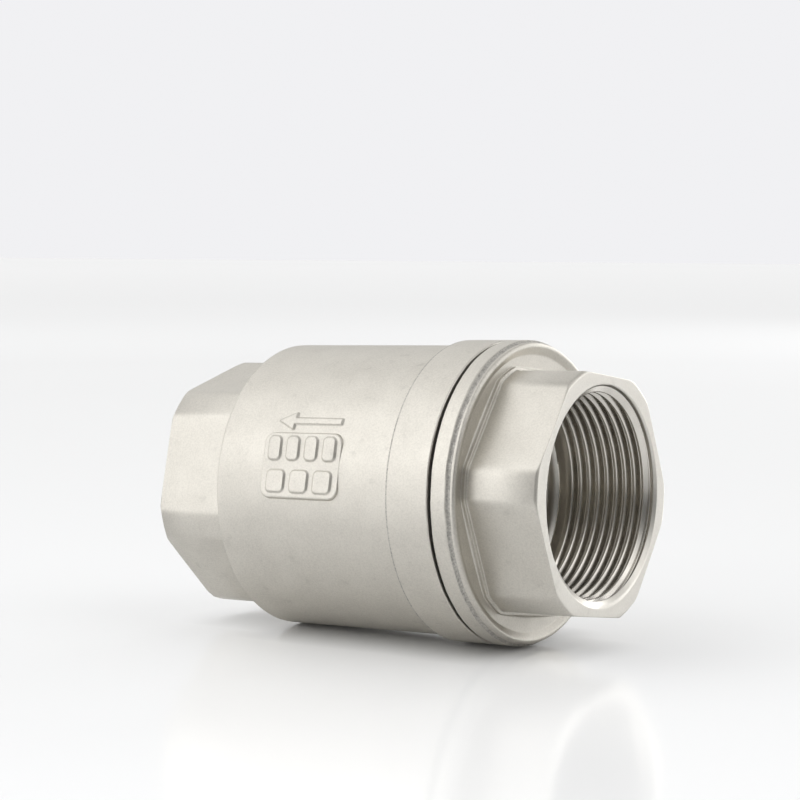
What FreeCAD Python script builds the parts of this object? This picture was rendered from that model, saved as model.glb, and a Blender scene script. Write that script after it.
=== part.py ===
import FreeCAD, Part
import math
import os

# In-line spring check valve with two female pipe threads, DN40 (1-1/2 in).
# Millimetres. X is the valve's axis: +X is the inlet end, where the cap screws in, and the
# flow leaves at -X. Z is up. The origin is the middle of the axis.
# Angles round the axis start at +Z and turn towards -Y, the side that carries the markings.

# ---- driving dimensions: pipe thread, 11 turns per inch, 47.803 outside, 44.845 inside ----
THREAD_MINOR_R = 22.42
THREAD_RELIEF_R = 23.95
MOUTH_R = 24.2
MOUTH_DEPTH = 1.3
INLET_THREAD_END = 21.6
OUTLET_THREAD_END = 20.6
INLET_RELIEF = 3.7
OUTLET_RELIEF = 2.1

# ---- driving dimensions: outside ----
LENGTH = 101.0
HALF = LENGTH / 2
ACROSS_FLATS = 52.0
INLET_HUB_R = 28.3
OUTLET_HUB_R = 28.4
HUB_CHAMFER = 0.6
INLET_HUB_ROLL = -8.7
OUTLET_HUB_ROLL = 15.4
FLANGE_R = 33.6
BARREL_R = 32.4
INLET_HUB_LENGTH = 17.0
OUTLET_HUB_LENGTH = 20.2
FLANGE_BACK = 22.6
RIM_SETBACK = 1.2
RIM_STEP = 0.5
RIM_STEP_LENGTH = 0.2
FLANGE_FRONT_DROP = 1.6
GASKET_T = 0.8
GASKET_FIT = 0.2
GASKET_SETBACK = 1.0
BAND_END = 34.0
EDGE = 0.9
OVERRUN = 1.0

# ---- driving dimensions: inside ----
SOCKET_R = 29.1
SPIGOT_R = 29.0
CAVITY_R = 28.4
PORT_R = 19.0
OUTLET_PORT_R = 19.5
SEAT_X = 16.7
SEAT_LIP = 0.8
SEAT_LIP_R = 21.0
SPIGOT_END_GAP = 0.5
GUIDE_X = -13.5
GUIDE_T = 4.0
GUIDE_SHOULDER_R = 26.0
THROAT_X = -25.0

# ---- driving dimensions: poppet, spring and guide ----
LIFT = 10.0
STOP_GAP = 0.3
SEAL_T = 2.4
SEAL_R = 22.6
SEAL_FIT = 0.05
SEAL_BORE_R = 15.05
DISC_T = 3.8
DISC_RIM_R = 23.4
BOSS_R = 8.3
BOSS_LENGTH = 4.0
RETAINER_R = 18.0
RETAINER_T = 2.0
WASHER_R = 7.0
WASHER_T = 1.6
WASHER_SPLIT = 1.0
NUT_ACROSS_FLATS = 13.0
NUT_T = 5.0
NUT_ROLL = 10.0
NUT_CORNER = 0.95
NUT_CHAMFER_R = 0.5
NUT_CHAMFER_X = 0.4
STEM_R = 4.0
STEM_COLLAR_R = 7.0
STEM_COLLAR_T = 2.0
STEM_TAIL = 2.0
STEM_POINT = 1.2
STEM_POINT_CHAMFER = 0.6
STEM_HOLE_R = 4.03
BUSH_BORE_R = 4.06
BUSH_R = 6.0
BUSH_FIT = 0.03
BUSH_FLANGE_R = 7.6
BUSH_FLANGE_T = 1.0
GUIDE_HUB_R = 8.3
GUIDE_LAND_R = 12.8
GUIDE_RING_R = 24.5
GUIDE_FIT = 0.1
GUIDE_ARMS = 4
GUIDE_ARM_WIDTH = 4.2
GUIDE_TAIL = 5.5
ARM_ROOT = 1.5
ARM_ROLL = 45.0
SPRING_R = 10.4
WIRE_R = 0.8
SPRING_TURNS = 5
CIRCLIP_GROOVE_R = 30.0
CIRCLIP_R = 29.8
CIRCLIP_BORE_R = 26.4
CIRCLIP_T = 1.5
CIRCLIP_GAP = 12.0
CIRCLIP_GAP_ROOT = 8.0

# ---- driving dimensions: raised marks on the barrel ----
MARK_HEIGHT = 0.45
MARK_ROOT = 3.0
MARK_SINK = 0.6
ARROW_ANGLE = 58.7
ARROW_TIP_X = -15.2
ARROW_TAIL_X = 1.8
ARROW_HEAD_LENGTH = 4.4
ARROW_HEAD_HALF = 2.0
ARROW_SHAFT_HALF = 0.65
PAD_CENTRE_X = -7.1
PAD_LENGTH = 21.0
PAD_WIDTH = 14.4
PAD_ANGLE = 76.7
PAD_CORNER_R = 2.5
PAD_LEVEL = 32.45
BLOCK_CORNER_R = 1.2
UPPER_ROW = {"count": 4, "pitch": 4.9, "length": 3.2, "width": 5.2, "offset": -3.75}
LOWER_ROW = {"count": 3, "pitch": 6.3, "length": 4.6, "width": 4.8, "offset": 3.55}

# Stations along the axis that follow from the dimensions above.
FLANGE_X = HALF - INLET_HUB_LENGTH
FLANGE_BACK_X = HALF - FLANGE_BACK
BODY_FACE_X = FLANGE_BACK_X - GASKET_T
BAND_X = HALF - BAND_END
OUTLET_HUB_X = OUTLET_HUB_LENGTH - HALF
SPIGOT_X = SEAT_X + SEAT_LIP
SOCKET_X = SPIGOT_X - SPIGOT_END_GAP
SEAL_X = SEAT_X - SEAL_T
DISC_X = SEAL_X - DISC_T
BOSS_X = DISC_X - BOSS_LENGTH
COLLAR_X = BOSS_X - STEM_COLLAR_T
RETAINER_X = SEAT_X + RETAINER_T
WASHER_X = RETAINER_X + WASHER_T
NUT_X = WASHER_X + NUT_T
BUSH_X = COLLAR_X - LIFT - STOP_GAP
GUIDE_BACK_X = GUIDE_X - GUIDE_T
GUIDE_TAIL_X = GUIDE_X - GUIDE_TAIL

X_AXIS = FreeCAD.Vector(1, 0, 0)
ORIGIN = FreeCAD.Vector(0, 0, 0)
PARTS_DIR = "parts"


def lathe(outline):
    """Turn an outline of (x, radius) points round the X axis into a solid."""
    points = [FreeCAD.Vector(x, radius, 0) for x, radius in outline]
    face = Part.Face(Part.makePolygon(points + points[:1]))
    return face.revolve(ORIGIN, X_AXIS, 360)


def tube(x_low, x_high, bore_r, outer_r):
    """Make a plain ring or sleeve between two stations."""
    return lathe([(x_low, bore_r), (x_high, bore_r), (x_high, outer_r), (x_low, outer_r)])


def rod(x_low, x_high, radius):
    """Make a plain round bar between two stations."""
    return lathe([(x_low, 0), (x_high, 0), (x_high, radius), (x_low, radius)])


def around(angle, radius, x=0.0):
    """Give the point at an angle and a radius from the valve's axis."""
    turn = math.radians(angle)
    return FreeCAD.Vector(x, -radius * math.sin(turn), radius * math.cos(turn))


def hexagon(x_low, x_high, across_flats, roll):
    """Make a hexagonal bar whose first flat faces the angle called roll."""
    corner_r = across_flats / 2 / math.cos(math.radians(30))
    corners = [around(roll + 30 + 60 * side, corner_r, x_low) for side in range(6)]
    face = Part.Face(Part.makePolygon(corners + corners[:1]))
    return face.extrude(X_AXIS * (x_high - x_low))


def thread_bore(end_x, inwards, thread_end, relief):
    """Cut for a threaded mouth: countersink, plain minor bore and relief behind it."""
    mouth_x = end_x + inwards * MOUTH_DEPTH
    thread_x = end_x + inwards * thread_end
    relief_x = thread_x + inwards * relief
    return lathe([
        (end_x - inwards * OVERRUN, 0),
        (end_x - inwards * OVERRUN, MOUTH_R),
        (end_x, MOUTH_R),
        (mouth_x, THREAD_MINOR_R),
        (thread_x, THREAD_MINOR_R),
        (thread_x, THREAD_RELIEF_R),
        (relief_x, THREAD_RELIEF_R),
        (relief_x, 0),
    ])


def wrap_mark(corners):
    """Raise a flat outline of (x, angle) corners from the barrel's surface."""
    middle = sum(angle for _, angle in corners) / len(corners)
    reach = BARREL_R + MARK_HEIGHT
    outward = around(middle, 1.0)
    sideways = around(middle + 90, 1.0)
    points = []
    for x, angle in corners:
        offset = BARREL_R * math.radians(angle - middle)
        points.append(outward * (BARREL_R - MARK_ROOT) + sideways * offset + X_AXIS * x)
    prism = Part.Face(Part.makePolygon(points + points[:1])).extrude(outward * 2 * MARK_ROOT)
    x_values = [x for x, _ in corners]
    shell = tube(min(x_values) - OVERRUN, max(x_values) + OVERRUN, BARREL_R - MARK_SINK, reach)
    return prism.common(shell)


def arc_degrees(length):
    """Turn a length along the barrel's surface into an angle round its axis."""
    return math.degrees(length / BARREL_R)


def block_mark(x_low, x_high, angle, half_width):
    """Raise a straight bar that runs along the barrel."""
    half = arc_degrees(half_width)
    return wrap_mark([
        (x_low, angle - half), (x_high, angle - half),
        (x_high, angle + half), (x_low, angle + half),
    ])


def flow_arrow():
    """Make the raised arrow that shows which way the flow goes."""
    head = arc_degrees(ARROW_HEAD_HALF)
    back_x = ARROW_TIP_X + ARROW_HEAD_LENGTH
    tip = wrap_mark([
        (ARROW_TIP_X, ARROW_ANGLE),
        (back_x, ARROW_ANGLE - head),
        (back_x, ARROW_ANGLE + head),
    ])
    shaft = block_mark(back_x - OVERRUN, ARROW_TAIL_X, ARROW_ANGLE, ARROW_SHAFT_HALF)
    return tip.fuse(shaft)


def flat_block(centre_x, offset, length, width, level, corner_r):
    """Make a flat-topped block with round corners, its top at a height over the axis.

    The offset runs round the barrel from the middle of the pad.
    """
    sunk = BARREL_R - MARK_ROOT
    block = Part.makeBox(
        length, width, level - sunk,
        FreeCAD.Vector(centre_x - length / 2, -offset - width / 2, sunk))
    upright = [edge for edge in block.Edges if abs(edge.tangentAt(edge.FirstParameter).z) > 0.9]
    block = block.makeFillet(corner_r, upright)
    block.rotate(ORIGIN, X_AXIS, PAD_ANGLE)
    return block


def marking_pad():
    """Make the flat pad and the two rows of plain raised blocks on it."""
    pieces = [flat_block(PAD_CENTRE_X, 0, PAD_LENGTH, PAD_WIDTH, PAD_LEVEL, PAD_CORNER_R)]
    for row in (UPPER_ROW, LOWER_ROW):
        first_x = PAD_CENTRE_X - row["pitch"] * (row["count"] - 1) / 2
        for step in range(row["count"]):
            pieces.append(flat_block(
                first_x + row["pitch"] * step, row["offset"], row["length"], row["width"],
                PAD_LEVEL + MARK_HEIGHT, BLOCK_CORNER_R))
    return pieces


def valve_body():
    """Make the body: outlet hub, barrel, joint band, cavity and marks."""
    barrel = lathe([
        (OUTLET_HUB_X, 0),
        (OUTLET_HUB_X, BARREL_R - EDGE),
        (OUTLET_HUB_X + EDGE, BARREL_R),
        (BAND_X, BARREL_R),
        (BAND_X, FLANGE_R),
        (BODY_FACE_X, FLANGE_R),
        (BODY_FACE_X, 0),
    ])
    turned = lathe([
        (-HALF, 0),
        (-HALF, OUTLET_HUB_R - HUB_CHAMFER),
        (-HALF + HUB_CHAMFER, OUTLET_HUB_R),
        (OUTLET_HUB_X + OVERRUN, OUTLET_HUB_R),
        (OUTLET_HUB_X + OVERRUN, 0),
    ])
    hub = hexagon(-HALF, OUTLET_HUB_X + OVERRUN, ACROSS_FLATS, OUTLET_HUB_ROLL).common(turned)
    body = barrel.fuse(hub).fuse([flow_arrow()] + marking_pad())
    cavity = lathe([
        (BODY_FACE_X + OVERRUN, 0),
        (BODY_FACE_X + OVERRUN, SOCKET_R),
        (SOCKET_X, SOCKET_R),
        (SOCKET_X, CAVITY_R),
        (GUIDE_X + CIRCLIP_T, CAVITY_R),
        (GUIDE_X + CIRCLIP_T, CIRCLIP_GROOVE_R),
        (GUIDE_X, CIRCLIP_GROOVE_R),
        (GUIDE_X, CAVITY_R),
        (GUIDE_BACK_X, CAVITY_R),
        (GUIDE_BACK_X, GUIDE_SHOULDER_R),
        (THROAT_X, OUTLET_PORT_R),
        (-HALF + OUTLET_THREAD_END, OUTLET_PORT_R),
        (-HALF + OUTLET_THREAD_END, 0),
    ])
    return body.cut(cavity).cut(thread_bore(-HALF, 1, OUTLET_THREAD_END, OUTLET_RELIEF)).removeSplitter()


def inlet_cap():
    """Make the cap: inlet hub, clamping flange, threaded spigot and seat."""
    flange = lathe([
        (SPIGOT_X, 0),
        (SPIGOT_X, SPIGOT_R),
        (FLANGE_BACK_X, SPIGOT_R),
        (FLANGE_BACK_X, FLANGE_R),
        (FLANGE_X - RIM_SETBACK, FLANGE_R),
        (FLANGE_X - RIM_SETBACK + RIM_STEP_LENGTH, FLANGE_R - RIM_STEP),
        (FLANGE_X, FLANGE_R - FLANGE_FRONT_DROP),
        (FLANGE_X, 0),
    ])
    lip = tube(SEAT_X, SPIGOT_X, PORT_R, SEAT_LIP_R)
    turned = lathe([
        (FLANGE_X - OVERRUN, 0),
        (FLANGE_X - OVERRUN, INLET_HUB_R),
        (HALF - HUB_CHAMFER, INLET_HUB_R),
        (HALF, INLET_HUB_R - HUB_CHAMFER),
        (HALF, 0),
    ])
    hub = hexagon(FLANGE_X - OVERRUN, HALF, ACROSS_FLATS, INLET_HUB_ROLL).common(turned)
    port = rod(SEAT_X - OVERRUN, HALF - INLET_THREAD_END, PORT_R)
    bore = thread_bore(HALF, -1, INLET_THREAD_END, INLET_RELIEF)
    return flange.fuse([lip, hub]).cut(port).cut(bore).removeSplitter()


def cap_gasket():
    """Make the flat ring that seals the cap's flange on the body."""
    return tube(BODY_FACE_X, FLANGE_BACK_X, SOCKET_R + GASKET_FIT, FLANGE_R - GASKET_SETBACK)


def poppet_disc():
    """Make the closing disc: seal pocket with a rim in front, spring boss behind."""
    return lathe([
        (BOSS_X, STEM_HOLE_R),
        (BOSS_X, BOSS_R),
        (DISC_X, BOSS_R),
        (DISC_X, DISC_RIM_R - EDGE),
        (DISC_X + EDGE, DISC_RIM_R),
        (SEAL_X + SEAL_T / 2, DISC_RIM_R),
        (SEAL_X + SEAL_T / 2, SEAL_R + SEAL_FIT),
        (SEAL_X, SEAL_R + SEAL_FIT),
        (SEAL_X, SEAL_BORE_R - SEAL_FIT),
        (SEAT_X, SEAL_BORE_R - SEAL_FIT),
        (SEAT_X, STEM_HOLE_R),
    ])


def seal_ring():
    """Make the soft ring that closes on the cap's seat lip."""
    return tube(SEAL_X, SEAT_X, SEAL_BORE_R, SEAL_R)


def seal_retainer():
    """Make the plate that clamps the soft ring to the disc."""
    return lathe([
        (SEAT_X, STEM_HOLE_R),
        (RETAINER_X, STEM_HOLE_R),
        (RETAINER_X, RETAINER_R - EDGE),
        (RETAINER_X - EDGE, RETAINER_R),
        (SEAT_X, RETAINER_R),
    ])


def lock_washer():
    """Make the split spring washer under the nut."""
    washer = tube(RETAINER_X, WASHER_X, STEM_HOLE_R, WASHER_R)
    split = Part.makeBox(
        WASHER_T + 2 * OVERRUN, WASHER_SPLIT, WASHER_R + OVERRUN,
        FreeCAD.Vector(RETAINER_X - OVERRUN, -WASHER_SPLIT / 2, 0))
    return washer.cut(split)


def retainer_nut():
    """Make the hexagon nut with chamfered corners."""
    nut = hexagon(WASHER_X, NUT_X, NUT_ACROSS_FLATS, NUT_ROLL)
    corner_r = NUT_ACROSS_FLATS / 2 + NUT_CORNER
    turned = lathe([
        (WASHER_X, 0),
        (WASHER_X, corner_r - NUT_CHAMFER_R),
        (WASHER_X + NUT_CHAMFER_X, corner_r),
        (NUT_X - NUT_CHAMFER_X, corner_r),
        (NUT_X, corner_r - NUT_CHAMFER_R),
        (NUT_X, 0),
    ])
    return nut.common(turned).cut(rod(WASHER_X - OVERRUN, NUT_X + OVERRUN, STEM_HOLE_R))


def poppet_stem():
    """Make the stem: threaded front, collar behind the disc and guided tail."""
    tail_x = GUIDE_TAIL_X - STEM_TAIL
    point_x = NUT_X + STEM_POINT
    return lathe([
        (tail_x, 0),
        (tail_x, STEM_R - EDGE),
        (tail_x + EDGE, STEM_R),
        (COLLAR_X, STEM_R),
        (COLLAR_X, STEM_COLLAR_R),
        (BOSS_X, STEM_COLLAR_R),
        (BOSS_X, STEM_R),
        (point_x - STEM_POINT_CHAMFER, STEM_R),
        (point_x, STEM_R - STEM_POINT_CHAMFER),
        (point_x, 0),
    ])


def stem_guide():
    """Make the spider that holds the stem on the axis and lets the flow past."""
    ring = tube(GUIDE_BACK_X, GUIDE_X, GUIDE_RING_R, CAVITY_R - GUIDE_FIT)
    bore_r = BUSH_R + BUSH_FIT
    land = tube(GUIDE_BACK_X, GUIDE_X, bore_r, GUIDE_LAND_R)
    hub = tube(GUIDE_TAIL_X, BUSH_X - BUSH_FLANGE_T, bore_r, GUIDE_HUB_R)
    arms = []
    for step in range(GUIDE_ARMS):
        arm = Part.makeBox(
            GUIDE_T, GUIDE_ARM_WIDTH, GUIDE_RING_R - GUIDE_LAND_R + 2 * ARM_ROOT,
            FreeCAD.Vector(GUIDE_BACK_X, -GUIDE_ARM_WIDTH / 2, GUIDE_LAND_R - ARM_ROOT))
        arm.rotate(ORIGIN, X_AXIS, ARM_ROLL + 360 / GUIDE_ARMS * step)
        arms.append(arm)
    return ring.fuse([land, hub] + arms).removeSplitter()


def guide_bush():
    """Make the flanged plain bush that the stem slides in and stops against."""
    return lathe([
        (GUIDE_TAIL_X, BUSH_BORE_R),
        (BUSH_X, BUSH_BORE_R),
        (BUSH_X, BUSH_FLANGE_R),
        (BUSH_X - BUSH_FLANGE_T, BUSH_FLANGE_R),
        (BUSH_X - BUSH_FLANGE_T, BUSH_R),
        (GUIDE_TAIL_X, BUSH_R),
    ])


def guide_circlip():
    """Make the open ring that keeps the spider against its shoulder."""
    clip = tube(GUIDE_X, GUIDE_X + CIRCLIP_T, CIRCLIP_BORE_R, CIRCLIP_R)
    gap = Part.makeBox(
        CIRCLIP_T + 2 * OVERRUN, CIRCLIP_GAP, CIRCLIP_R,
        FreeCAD.Vector(GUIDE_X - OVERRUN, -CIRCLIP_GAP / 2, CIRCLIP_BORE_R - CIRCLIP_GAP_ROOT))
    return clip.cut(gap)


def return_spring():
    """Make the closing spring: a round wire helix between the disc and the spider."""
    low_x = GUIDE_X + WIRE_R
    high_x = DISC_X - WIRE_R
    length = high_x - low_x
    helix = Part.makeHelix(length / SPRING_TURNS, length, SPRING_R)
    start = helix.Edges[0].Vertexes[0].Point
    section = Part.Wire(Part.makeCircle(WIRE_R, start, FreeCAD.Vector(0, 1, 0)))
    coil = Part.Wire(helix).makePipeShell([section], True, True)
    coil.rotate(ORIGIN, FreeCAD.Vector(0, 1, 0), 90)
    coil.translate(X_AXIS * low_x)
    return coil


NODES = {
    "valve_body": valve_body,
    "inlet_cap": inlet_cap,
    "cap_gasket": cap_gasket,
    "poppet_disc": poppet_disc,
    "seal_ring": seal_ring,
    "seal_retainer": seal_retainer,
    "lock_washer": lock_washer,
    "retainer_nut": retainer_nut,
    "poppet_stem": poppet_stem,
    "return_spring": return_spring,
    "stem_guide": stem_guide,
    "guide_bush": guide_bush,
    "guide_circlip": guide_circlip,
}

os.makedirs(PARTS_DIR, exist_ok=True)
for node, build in NODES.items():
    shape = build()
    shape.exportStep(os.path.join(PARTS_DIR, node + ".step"))
    box = shape.BoundBox
    print(node, "solids", len(shape.Solids), "valid", shape.isValid(), "volume", round(shape.Volume),
          "x", round(box.XMin, 2), round(box.XMax, 2), "r", round(box.ZMax, 2))
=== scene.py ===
import logging
import math
from collections.abc import Sequence
from dataclasses import dataclass, replace
from enum import Enum

import bmesh
import bpy
from mathutils import Matrix, Vector, noise


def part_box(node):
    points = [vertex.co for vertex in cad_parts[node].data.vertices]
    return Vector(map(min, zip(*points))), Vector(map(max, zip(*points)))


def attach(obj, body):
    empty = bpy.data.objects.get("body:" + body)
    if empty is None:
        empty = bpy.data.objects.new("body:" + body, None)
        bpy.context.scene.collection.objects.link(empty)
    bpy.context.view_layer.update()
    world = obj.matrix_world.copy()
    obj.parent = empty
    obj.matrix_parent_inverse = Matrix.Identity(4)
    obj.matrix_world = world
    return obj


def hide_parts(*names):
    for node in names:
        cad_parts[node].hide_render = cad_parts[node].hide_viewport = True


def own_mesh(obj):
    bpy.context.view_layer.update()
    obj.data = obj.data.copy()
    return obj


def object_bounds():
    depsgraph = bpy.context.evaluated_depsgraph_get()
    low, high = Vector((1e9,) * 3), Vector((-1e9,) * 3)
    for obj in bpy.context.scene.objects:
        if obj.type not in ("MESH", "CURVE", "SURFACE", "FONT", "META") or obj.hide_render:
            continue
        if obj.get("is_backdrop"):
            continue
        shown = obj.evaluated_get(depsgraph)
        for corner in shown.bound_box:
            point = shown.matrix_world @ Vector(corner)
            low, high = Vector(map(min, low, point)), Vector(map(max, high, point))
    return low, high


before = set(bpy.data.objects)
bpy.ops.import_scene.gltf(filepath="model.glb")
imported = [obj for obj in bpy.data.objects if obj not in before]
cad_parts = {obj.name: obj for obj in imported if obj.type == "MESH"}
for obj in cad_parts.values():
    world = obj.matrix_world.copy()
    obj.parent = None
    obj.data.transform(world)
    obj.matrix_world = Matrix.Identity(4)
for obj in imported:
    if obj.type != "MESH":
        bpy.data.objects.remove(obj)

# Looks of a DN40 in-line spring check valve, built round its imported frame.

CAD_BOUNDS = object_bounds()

LOG = logging.getLogger("check_valve")
MM = 0.001
FULL_TURN = 360.0
MERGE_DISTANCE = 0.000002
WHITE = (1.0, 1.0, 1.0, 1.0)

Colour = tuple[float, float, float]


class Surface(Enum):
    """How a stretch of the valve's skin was finished in the works; the ragged cast and the gasket also carry
    painted shade, and the bores painted light.
    """

    CAST = "blasted_cast"
    RAGGED = "ragged_cast"
    FACED = "faced_steel"
    THREAD = "cut_thread"
    BORE = "bored_steel"
    WIRE = "drawn_wire"
    SOFT = "white_seal"
    GASKET = "dark_gasket"


class Pattern(Enum):
    """Which shared node group gives a finish its fine pattern."""

    GRAIN = "blasted_grain"
    LINES = "turned_lines"


# ---------------------------------------------------------------- finishes


class Wiring:
    """Adds nodes to one tree and wires them."""

    def __init__(self, tree: bpy.types.NodeTree) -> None:
        """Take the tree to add to."""
        self.tree = tree

    def node(self, kind: str, links: dict[str | int, object] | None = None,
             **settings: object) -> bpy.types.Node:
        """Add a node.

        Args:
            kind: The node's type.
            links: Socket name or number to a socket or a value.
            settings: Properties of the node.

        Returns:
            The new node.
        """
        node = self.tree.nodes.new(kind)
        for key, value in settings.items():
            setattr(node, key, value)
        self.feed(node, links or {})
        return node

    def feed(self, node: bpy.types.Node, links: dict[str | int, object]) -> None:
        """Link or set a node's inputs.

        Args:
            node: The node.
            links: Socket name or number to a socket or a value.
        """
        for key, value in links.items():
            if isinstance(value, bpy.types.NodeSocket):
                self.tree.links.new(value, node.inputs[key])
            else:
                node.inputs[key].default_value = value

    def maths(self, operation: str, first: object, second: object = 0.0) -> object:
        """Add a Math node and return its output."""
        return self.node("ShaderNodeMath", {0: first, 1: second}, operation=operation).outputs[0]


class PatternGroup(Wiring):
    """A node group with the sockets that all patterns share.

    Each stain is the value of a noise that leaves the surface clean, and the gain above it.
    """

    spot_scale: float = 310.0
    spot_stain: tuple[float, float] = (0.66, 5.0)
    mottle_stain: tuple[float, float] = (0.12, 0.75)
    grain_stain: tuple[float, float] = (0.5, 1.9)
    ring_stain: tuple[float, float] = (0.4, 1.6)
    mottle_height: float = 1.5

    def __init__(self, pattern: Pattern) -> None:
        """Open the group and build its pattern.

        Args:
            pattern: The pattern that the group draws.
        """
        super().__init__(bpy.data.node_groups.new(pattern.value, "ShaderNodeTree"))
        asked = ("Bright", "Dull", "Fine Scale", "Coarse Scale", "Mean Roughness", "Roughness Spread")
        for direction, labels in (("INPUT", asked), ("OUTPUT", ("Colour", "Roughness", "Height"))):
            for label in labels:
                kind = "NodeSocketColor" if label in ("Bright", "Dull", "Colour") else "NodeSocketFloat"
                self.tree.interface.new_socket(name=label, in_out=direction, socket_type=kind)
        self.start = self.node("NodeGroupInput").outputs
        self.end = self.node("NodeGroupOutput")
        self.place = self.node("ShaderNodeTexCoord").outputs["Object"]
        if pattern is Pattern.GRAIN:
            self._grain()
        else:
            self._lines()

    def _noise(self, vector: object, scale: object, detail: float) -> object:
        """Add a Noise Texture of some octaves and return its factor."""
        links = {"Detail": detail, "Vector": vector, "Scale": scale}
        return self.node("ShaderNodeTexNoise", links).outputs["Fac"]

    def _swing(self, value: object, middle: float, gain: float) -> object:
        """Return a value counted from its middle and scaled."""
        return self.maths("MULTIPLY", self.maths("SUBTRACT", value, middle), gain)

    def _close(self, stain: object, swing: object, height: object) -> None:
        """Wire colour, roughness and height to the group's outputs.

        Args:
            stain: At 0 or less the surface is clean, at 1 or more it is dull.
            swing: Pattern that moves the roughness, about 0.5.
            height: Pattern of the relief.
        """
        share = self.maths("MINIMUM", self.maths("MAXIMUM", stain, 0.0), 1.0)
        mix = self.node("ShaderNodeMix", {
            "Factor": share, "A": self.start["Bright"], "B": self.start["Dull"]}, data_type="RGBA")
        spread = self.maths("MULTIPLY", self.maths("SUBTRACT", swing, 0.5), self.start["Roughness Spread"])
        self.feed(self.end, {
            "Colour": mix.outputs["Result"],
            "Roughness": self.maths("ADD", spread, self.start["Mean Roughness"]),
            "Height": height,
        })

    def _grain(self) -> None:
        """Make the pitted, slightly mottled skin of a blasted casting."""
        grain = self._noise(self.place, self.start["Fine Scale"], 3.0)
        mottle = self._noise(self.place, self.start["Coarse Scale"], 4.0)
        spots = self._noise(self.place, self.spot_scale, 2.0)
        spot_mask = self.maths("MAXIMUM", self._swing(spots, *self.spot_stain), 0.0)
        slow = self._swing(mottle, *self.mottle_stain)
        mottled = self.maths("ADD", slow, self._swing(grain, *self.grain_stain))
        height = self.maths("ADD", grain, self.maths("MULTIPLY", mottle, self.mottle_height))
        self._close(self.maths("ADD", mottled, spot_mask), mottle, height)

    def _lines(self) -> None:
        """Make the fine rings that a turning tool leaves round the valve's axis."""
        split = self.node("ShaderNodeSeparateXYZ", {"Vector": self.place}).outputs
        squares = [self.maths("MULTIPLY", split[axis], split[axis]) for axis in ("Y", "Z")]
        radius = self.maths("SQRT", self.maths("ADD", *squares))
        ring = self.node("ShaderNodeCombineXYZ", {"X": split["X"], "Y": radius})
        lines = self._noise(ring.outputs["Vector"], self.start["Fine Scale"], 2.0)
        mottle = self._noise(self.place, self.start["Coarse Scale"], 3.0)
        self._close(self._swing(mottle, *self.ring_stain), lines, lines)


@dataclass(frozen=True)
class Finish:
    """One real finish: its colours, gloss and the pattern left by its making.

    Args:
        bright: Base colour of the clean surface; on the bored finish it is lightened as painted light.
        dull: Base colour where the surface is stained or worn; on the ragged cast finish it is also darkened
            as painted shade.
        roughness: Mean roughness.
        spread: How far roughness swings about its mean.
        fine: Scale of the fine pattern.
        coarse: Scale of the slow mottling.
        relief: Depth of the bump in metres.
        strength: Strength of the bump.
        metallic: 1 for bare metal, 0 for the seals, and between them for the blasted bores.
        pattern: The shared node group that draws the fine pattern.
    """

    bright: Colour
    dull: Colour
    roughness: float
    spread: float
    fine: float
    coarse: float
    relief: float
    strength: float
    metallic: float = 1.0
    pattern: Pattern = Pattern.GRAIN

    def material(self, name: str, group: PatternGroup) -> bpy.types.Material:
        """Build this finish as a node material.

        Args:
            name: Name of the material.
            group: The shared group of its pattern.

        Returns:
            The finished material.
        """
        material = bpy.data.materials.new(name)
        material.use_nodes = True
        wiring = Wiring(material.node_tree)
        pattern = wiring.node("ShaderNodeGroup", {
            "Bright": (*self.bright, 1.0), "Dull": (*self.dull, 1.0),
            "Fine Scale": self.fine, "Coarse Scale": self.coarse,
            "Mean Roughness": self.roughness, "Roughness Spread": self.spread}, node_tree=group.tree)
        bump = wiring.node("ShaderNodeBump", {
            "Strength": self.strength, "Distance": self.relief, "Height": pattern.outputs["Height"]})
        wiring.feed(material.node_tree.nodes["Principled BSDF"], {
            "Metallic": self.metallic,
            "Base Color": pattern.outputs["Colour"],
            "Roughness": pattern.outputs["Roughness"],
            "Normal": bump.outputs["Normal"],
        })
        return material


FINISHES: dict[Surface, Finish] = {
    Surface.CAST: Finish(
        (0.675, 0.648, 0.591), (0.560, 0.537, 0.490), 0.47, 0.10, 2600.0, 150.0, 0.00004, 0.50),
    # Ragged cast at the joint band's step and the cap rim's step: a rough cast edge, and its dark dull colour
    # is painted shade for the dark lines at those steps.
    Surface.RAGGED: Finish(
        (0.60, 0.58, 0.54), (0.26, 0.25, 0.235), 0.60, 0.20, 2200.0, 500.0, 0.0002, 0.8),
    Surface.FACED: Finish(
        (0.715, 0.69, 0.635), (0.64, 0.615, 0.565), 0.35, 0.08, 2600.0, 160.0, 0.00001, 0.20),
    Surface.THREAD: Finish(
        (0.72, 0.69, 0.635), (0.62, 0.59, 0.54), 0.20, 0.08, 5200.0, 200.0, 0.000004, 0.20,
        pattern=Pattern.LINES),
    # Bored steel of the ports, cavity and spigot; its light base colour is painted light for the lit port
    # wall.
    Surface.BORE: Finish(
        (0.80, 0.78, 0.72), (0.68, 0.66, 0.61), 0.55, 0.12, 2600.0, 150.0, 0.00002, 0.35, 0.55),
    Surface.WIRE: Finish(
        (0.70, 0.69, 0.67), (0.56, 0.55, 0.53), 0.25, 0.12, 1800.0, 400.0, 0.00001, 0.30),
    Surface.SOFT: Finish(
        (0.86, 0.85, 0.82), (0.78, 0.77, 0.73), 0.48, 0.12, 1500.0, 220.0, 0.00002, 0.25, 0.0),
    # Joint ring seen only through the joint gap; its near-black colour is painted shade for the gap.
    Surface.GASKET: Finish(
        (0.030, 0.029, 0.028), (0.014, 0.014, 0.014), 0.70, 0.15, 1800.0, 260.0, 0.00005, 0.50, 0.0),
}


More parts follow.
